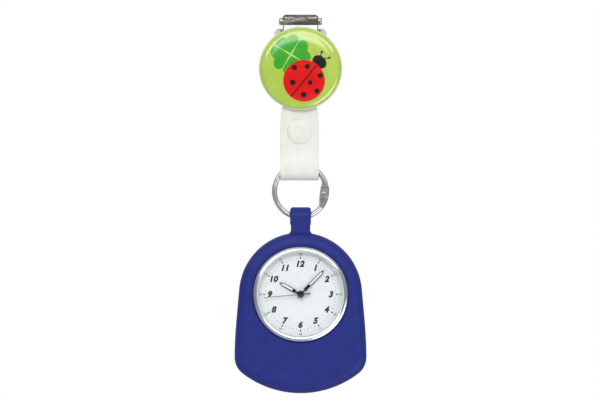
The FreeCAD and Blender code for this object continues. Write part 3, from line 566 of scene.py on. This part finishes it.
def stroke(points, width, end_width=None, steps=6):
    """Round-ended stroke along a few points."""
    end_width = width if end_width is None else end_width
    left, right = [], []
    n = len(points)
    for k, (x, z) in enumerate(points):
        x0, z0 = points[max(0, k - 1)]
        x1, z1 = points[min(n - 1, k + 1)]
        length = math.hypot(x1 - x0, z1 - z0)
        nx, nz = -(z1 - z0) / length, (x1 - x0) / length
        w = (width + (end_width - width) * k / (n - 1)) / 2
        left.append((x + nx * w, z + nz * w))
        right.append((x - nx * w, z - nz * w))
    cap = []
    x, z = points[-1]
    x0, z0 = points[-2]
    a = math.atan2(z - z0, x - x0)
    for k in range(1, steps):
        b = a + math.pi / 2 - math.pi * k / steps
        cap.append((x + end_width / 2 * math.cos(b), z + end_width / 2 * math.sin(b)))
    start = []
    x, z = points[0]
    x1, z1 = points[1]
    a = math.atan2(z - z1, x - x1)
    for k in range(1, steps):
        b = a + math.pi / 2 - math.pi * k / steps
        start.append((x + width / 2 * math.cos(b), z + width / 2 * math.sin(b)))
    return left + cap + list(reversed(right)) + start


def leaf(cx, cz, size, turn, steps=60):
    """Heart-shaped clover leaf whose point is at (cx, cz)."""
    t = math.radians(turn)
    out = []
    for k in range(steps):
        u = math.tau * k / steps
        x = 0.54 * size * math.sin(u) ** 3
        z = size * (0.54 + 0.40 * math.cos(u) - 0.13 * math.cos(2 * u) - 0.06 * math.cos(3 * u)
                    - 0.02 * math.cos(4 * u))
        out.append((cx + x * math.cos(t) - z * math.sin(t), cz + x * math.sin(t) + z * math.cos(t)))
    return out


def ladybird():
    """Ladybird of circles and strokes, in mm about the badge's centre."""
    cx, cz, r = 1.1, -3.9, 6.45
    head = (5.85, 1.9)
    badge_patch("print_bug_head", ellipse(head[0], head[1], 2.35, 1.9, -42), 0.10, BLACK)
    for k, (x, z) in enumerate(((6.6, 5.0), (8.9, 3.2))):
        mid = (0.5 * (head[0] + x) + (0.25 if k else -0.1), 0.5 * (head[1] + z) + 0.35)
        badge_patch("print_feeler_%d" % k, stroke([head, mid, (x, z)], 0.28), 0.10, BLACK)
        badge_patch("print_feeler_tip_%d" % k, ellipse(x, z, 0.4, 0.4, 0, 20), 0.09, BLACK)
    badge_patch("print_bug_body", ellipse(cx, cz, r, r, 0, 96), 0.08, RED)
    way = math.atan2(head[1] - cz, head[0] - cx)
    line = [(cx + math.cos(way) * r * f, cz + math.sin(way) * r * f)
            for f in (0.93, 0.4, 0.0, -0.4, -0.96)]
    badge_patch("print_bug_line", stroke(line, 0.42, 0.36), 0.06, BLACK)
    spots = ((-1.9, 0.15, 0.85), (2.1, 0.5, 0.85), (6.1, -2.3, 0.85), (-2.4, -4.45, 0.88),
             (3.0, -4.5, 0.72), (5.1, -7.1, 0.85), (1.0, -8.2, 0.88))
    for k, (x, z, size) in enumerate(spots):
        badge_patch("print_spot_%d" % k, ellipse(x, z, size, size * 0.95, 20, 28), 0.06, BLACK)


def clover():
    """Four leaves with thin pale gaps between them."""
    cx, cz = -3.0, 4.2
    first = -76
    for k in range(4):
        turn = first + 90 * k
        badge_patch("print_leaf_%d" % k, leaf(cx, cz, 6.6, turn), 0.12, GREEN)
        t = math.radians(turn + 45)
        gap = [(cx - f * math.sin(t), cz + f * math.cos(t)) for f in (0.0, 2.4, 4.8)]
        badge_patch("print_gap_%d" % k, stroke(gap, 0.26, 0.18), 0.11, PALE)


# ---------------------------------------------------------------- strap
# height and half width in mm, a little narrower than the CAD strap
WIDTHS = ((-20.9, 4.0), (-24.6, 4.0), (-26.2, 5.2), (-27.4, 5.5), (-29.5, 5.8), (-32.0, 5.95),
          (-34.5, 6.0), (-38.0, 6.0), (-42.0, 5.98), (-46.0, 5.96), (-50.2, 5.94))


def half_width(z):
    """Half the strap's width at a height, eased between the heights of WIDTHS."""
    z /= MM
    if z >= WIDTHS[0][0]:
        return WIDTHS[0][1] * MM
    for (z0, w0), (z1, w1) in zip(WIDTHS, WIDTHS[1:]):
        if z >= z1:
            t = (z - z0) / (z1 - z0)
            t = t * t * (3 - 2 * t) if z > -27 else t
            return (w0 + (w1 - w0) * t) * MM
    return WIDTHS[-1][1] * MM


def straight(y0, z0, y1, z1, steps):
    return [(y0 + (y1 - y0) * k / steps, z0 + (z1 - z0) * k / steps) for k in range(steps + 1)]


def round_part(y, z, r, a0, a1, steps):
    out = []
    for k in range(steps + 1):
        a = math.radians(a0 + (a1 - a0) * k / steps)
        out.append((y + r * math.cos(a), z + r * math.sin(a)))
    return out


def s_part(y0, z0, y1, z1, steps):
    """Two tangent arcs, upright at both ends."""
    dy, dz = y1 - y0, abs(z1 - z0)
    r = (dy * dy + dz * dz) / (4 * abs(dy))
    turn = math.asin(dz / 2 / r)
    side = 1 if dy > 0 else -1
    way = 1 if z1 > z0 else -1
    out = []
    for k in range(steps + 1):
        a = turn * k / steps
        out.append((y0 + side * r * (1 - math.cos(a)), z0 + way * r * math.sin(a)))
    for k in range(steps - 1, -1, -1):
        a = turn * k / steps
        out.append((y1 - side * r * (1 - math.cos(a)), z1 - way * r * math.sin(a)))
    return out


END_ROUND = 1.5 * MM


def section(half, steps=5):
    """Rounded rectangle, half wide and STRAP_T thick, as (across, through)."""
    r = 0.24 * MM
    t = STRAP_T / 2
    out = []
    for sx, sy, a0 in ((1, 1, 0), (-1, 1, 90), (-1, -1, 180), (1, -1, 270)):
        for k in range(steps + 1):
            a = math.radians(a0 + 90 * k / steps)
            out.append((sx * (half - r) + r * math.cos(a), sy * (t - r) + r * math.sin(a)))
    return out


def ribbon(name, path, round_end=False):
    """Sweeps the strap's section along a YZ path."""
    bm = bmesh.new()
    rings = []
    lengths = [0.0]
    for p, q in zip(path, path[1:]):
        lengths.append(lengths[-1] + math.hypot(q[0] - p[0], q[1] - p[1]))
    total = lengths[-1]
    for k, (y, z) in enumerate(path):
        y0, z0 = path[max(0, k - 1)]
        y1, z1 = path[min(len(path) - 1, k + 1)]
        size = math.hypot(y1 - y0, z1 - z0)
        ny, nz = (z1 - z0) / size, -(y1 - y0) / size
        half = half_width(z)
        left = total - lengths[k]
        if round_end and left < END_ROUND:
            half -= END_ROUND - math.sqrt(max(0.0, END_ROUND ** 2 - (END_ROUND - left) ** 2))
        rings.append([bm.verts.new((STRAP_X + w, y + ny * v, z + nz * v))
                      for w, v in section(half)])
    n = len(rings[0])
    for one, two in zip(rings, rings[1:]):
        for k in range(n):
            bm.faces.new([one[k], one[(k + 1) % n], two[(k + 1) % n], two[k]])
    bm.faces.new(rings[0])
    bm.faces.new(list(reversed(rings[-1])))
    mesh = bpy.data.meshes.new(name)
    bmesh.ops.recalc_face_normals(bm, faces=bm.faces)
    bm.to_mesh(mesh)
    bm.free()
    mesh.materials.append(MAT["vinyl"])
    for poly in mesh.polygons:
        poly.use_smooth = len(poly.vertices) == 4
    obj = bpy.data.objects.new(name, mesh)
    bpy.context.scene.collection.objects.link(obj)
    return obj


def end_steps(path, steps=9):
    """Adds closely spaced points at the end, so that its corners come out round."""
    (y0, z0), (y1, z1) = path[-1], path[-2]
    size = math.hypot(y1 - y0, z1 - z0)
    extra = []
    for k in range(steps + 1):
        d = END_ROUND * (1 - math.cos(math.radians(90 * k / steps)))
        extra.append((y0 + (y1 - y0) * d / size, z0 + (z1 - z0) * d / size))
    return path[:-1] + list(reversed(extra))


def strap():
    """Strap round the bar and down the front, its snap, the fold and the free end."""
    front = BAR_Y - WRAP_R
    back = BAR_Y + WRAP_R
    lap_end = -26.95 * MM
    bent_from = 332
    straight_to = -45.4 * MM
    run = straight(back, lap_end, back, BAR_Z, 6)
    run += round_part(BAR_Y, BAR_Z, WRAP_R, 0, 180, 20)[1:]
    run += straight(front, BAR_Z, front, BEND_TOP, 24)[1:]
    run += s_part(front, BEND_TOP, FOLD_Y - FOLD_R, FOLD_Z, 12)[1:]
    run += round_part(FOLD_Y, FOLD_Z, FOLD_R, 180, bent_from, 26)[1:]
    top = ribbon("strap_run", run)
    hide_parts("strap_front")
    place(top, "strap")

    front_of_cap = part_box("snap_cap")[0][1]
    profile = [(r * MM, front_of_cap + y * MM) for r, y in
               ((0.0, 0.12), (0.75, 0.12), (1.05, 0.03), (1.4, 0.0), (2.2, 0.05), (2.9, 0.2),
                (3.5, 0.42), (3.85, 0.62), (4.0, 0.84))]
    x, _, z = middle("snap_cap")
    cap = lathe("snap_face", profile, (x, z), MAT["snap_plastic"], "strap")
    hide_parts("snap_cap")

    bend = round_part(FOLD_Y, FOLD_Z, FOLD_R, bent_from, 360, 8)
    bend += straight(FOLD_Y + FOLD_R, FOLD_Z, FOLD_Y + FOLD_R, straight_to, 6)[1:]
    fold = ribbon("strap_fold", bend)
    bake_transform(fold)

    end = s_part(FOLD_Y + FOLD_R, straight_to, FLAP_Y, BEND_TOP, 10)
    end += straight(FLAP_Y, BEND_TOP, FLAP_Y, FLAP_TOP, 8)[1:]
    flap = ribbon("strap_flap", end_steps(end), round_end=True)
    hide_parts("strap_tail")
    place(flap, "strap_end")


# ---------------------------------------------------------------- stage
def area_light(name, place_at, target, size, power):
    """Square lamp whose own reflection isn't seen."""
    data = bpy.data.lights.new(name, "AREA")
    data.shape = "RECTANGLE"
    data.size = size
    data.size_y = size
    data.energy = power
    obj = bpy.data.objects.new(name, data)
    obj.location = place_at
    way = Vector(target) - Vector(place_at)
    obj.rotation_euler = way.to_track_quat("-Z", "Y").to_euler()
    obj.visible_glossy = False
    bpy.context.scene.collection.objects.link(obj)


# soft panels round the room, in degrees: distance from the front axis, its half width,
# place round the axis clockwise from the top, its half width, soft edge, how much the
# ends bend outwards, brightness
PANELS = ((30.5, 9.1, -4.0, 62.0, 1.0, 1.5, 3.5), (48.0, 14.0, 134.0, 26.0, 4.0, 0.0, 4.0),
          (60.0, 26.0, 62.0, 24.0, 9.0, 0.0, -0.25), (60.0, 26.0, -78.0, 20.0, 9.0, 0.0, -0.25),
          (0.0, 19.0, 0.0, 190.0, 1.5, 0.0, -0.34))


def soft_panel(tree, total, off_axis, around, panel):
    """Adds a soft-edged patch of light, or of shade, to the room's brightness."""
    middle_at, half, turn, half_turn, edge, bend, value = panel
    gap_round = add(tree, "Math", operation="SUBTRACT")
    gap_round.inputs[1].default_value = math.radians(turn)
    tree.links.new(around, gap_round.inputs[0])
    square = add(tree, "Math", operation="POWER")
    square.inputs[1].default_value = 2.0
    size_round = add(tree, "Math", operation="ABSOLUTE")
    tree.links.new(gap_round.outputs["Value"], size_round.inputs[0])
    tree.links.new(size_round.outputs["Value"], square.inputs[0])
    middle_line = add(tree, "Math", operation="MULTIPLY_ADD")
    middle_line.inputs[1].default_value = math.radians(bend)
    middle_line.inputs[2].default_value = math.radians(middle_at)
    tree.links.new(square.outputs["Value"], middle_line.inputs[0])
    gap_out = add(tree, "Math", operation="SUBTRACT")
    tree.links.new(off_axis, gap_out.inputs[0])
    tree.links.new(middle_line.outputs["Value"], gap_out.inputs[1])
    size_out = add(tree, "Math", operation="ABSOLUTE")
    tree.links.new(gap_out.outputs["Value"], size_out.inputs[0])
    both = add(tree, "Math", operation="MULTIPLY")
    for k, (size, reach, blur) in enumerate(((size_out, half, edge),
                                             (size_round, half_turn, 3 * edge))):
        tree.links.new(ramp(tree, size.outputs["Value"], math.radians(reach - blur),
                            math.radians(reach + blur), 1.0, 0.0), both.inputs[k])
    out = add(tree, "Math", operation="MULTIPLY_ADD")
    out.inputs[1].default_value = value
    tree.links.new(both.outputs["Value"], out.inputs[0])
    tree.links.new(total, out.inputs[2])
    return out.outputs["Value"]


def studio():
    """Room that reflects softly but shows white to the camera, four lamps and a floor."""
    world = bpy.data.worlds.new("studio")
    bpy.context.scene.world = world
    world.use_nodes = True
    tree = world.node_tree
    tree.nodes.clear()
    out = tree.nodes.new("ShaderNodeOutputWorld")
    coords = add(tree, "TexCoord")
    split = add(tree, "SeparateXYZ")
    tree.links.new(coords.outputs["Generated"], split.inputs["Vector"])
    shade = add(tree, "ValToRGB")
    stops = ((0.0, 0.62), (0.3, 0.55), (0.44, 0.42), (0.56, 0.5), (0.72, 0.75), (1.0, 0.9))
    while len(shade.color_ramp.elements) < len(stops):
        shade.color_ramp.elements.new(0.5)
    for element, (at, value) in zip(shade.color_ramp.elements, stops):
        element.position = at
        element.color = (value, value, value, 1)
    tree.links.new(ramp(tree, split.outputs["Z"], -1, 1, 0, 1), shade.inputs["Fac"])
    away = add(tree, "Math", operation="MULTIPLY")
    away.inputs[1].default_value = -1.0
    tree.links.new(split.outputs["Y"], away.inputs[0])
    off_axis = add(tree, "Math", operation="ARCCOSINE")
    tree.links.new(away.outputs["Value"], off_axis.inputs[0])
    around = add(tree, "Math", operation="ARCTAN2")
    tree.links.new(split.outputs["X"], around.inputs[0])
    tree.links.new(split.outputs["Z"], around.inputs[1])
    total = shade.outputs["Color"]
    for panel in PANELS:
        total = soft_panel(tree, total, off_axis.outputs["Value"], around.outputs["Value"], panel)
    soft = add(tree, "Background")
    soft.inputs["Strength"].default_value = 0.85
    tree.links.new(total, soft.inputs["Color"])
    white = add(tree, "Background")
    white.inputs["Color"].default_value = (1, 1, 1, 1)
    white.inputs["Strength"].default_value = 1.0
    path = add(tree, "LightPath")
    mix = add(tree, "MixShader")
    tree.links.new(path.outputs["Is Camera Ray"], mix.inputs["Fac"])
    tree.links.new(soft.outputs["Background"], mix.inputs[1])
    tree.links.new(white.outputs["Background"], mix.inputs[2])
    tree.links.new(mix.outputs["Shader"], out.inputs["Surface"])

    centre = (0, 0, -0.06)
    area_light("key", (-0.06, -0.36, 0.16), centre, 0.22, 0.34)
    area_light("fill", (0.34, -0.40, -0.02), centre, 0.26, 0.30)
    area_light("low", (0.0, -0.34, -0.42), centre, 0.24, 0.50)
    area_light("back", (-0.2, 0.4, 0.15), centre, 0.35, 0.6)

    bm = bmesh.new()
    bmesh.ops.create_grid(bm, x_segments=1, y_segments=1, size=0.5,
                          matrix=Matrix.Translation((0, 0, -0.16)))
    paint = surface("floor", lin(238, 238, 238), lin(242, 242, 242), 0.7, 0.0, 20)
    floor = mesh_object("floor", bm, paint, None, False)
    floor.visible_glossy = False


def camera():
    """Long lens straight in front of the whole object."""
    data = bpy.data.cameras.new("camera")
    data.lens = 180
    data.sensor_width = 36
    data.clip_start = 0.01
    obj = bpy.data.objects.new("camera", data)
    obj.location = (-0.00016, -0.933, -0.05567)
    obj.rotation_euler = (math.radians(90), 0, 0)
    bpy.context.scene.collection.objects.link(obj)
    bpy.context.scene.camera = obj


dress_frame()
dial_marks()
numerals("dial_numerals", range(1, 13), 9.45 * MM, 2.5 * MM, 0.25, 0.06, INK)
numerals("dial_numerals_24", range(13, 25), 12.4 * MM, 1.05 * MM, 0.1, 0.02, INK_GREY)
rehaut()
hand_inlay("hour_lume", "hour_hand", "hours", 2.9, 6.75, 0.29, 299.4)
hand_inlay("minute_lume", "minute_hand", "minutes", 4.1, 9.6, 0.25, 44.2)
hub_cap()
badge_layers()
badge_backing()
ladybird()
clover()
strap()
studio()
camera()
bpy.context.scene.view_settings.view_transform = "Standard"
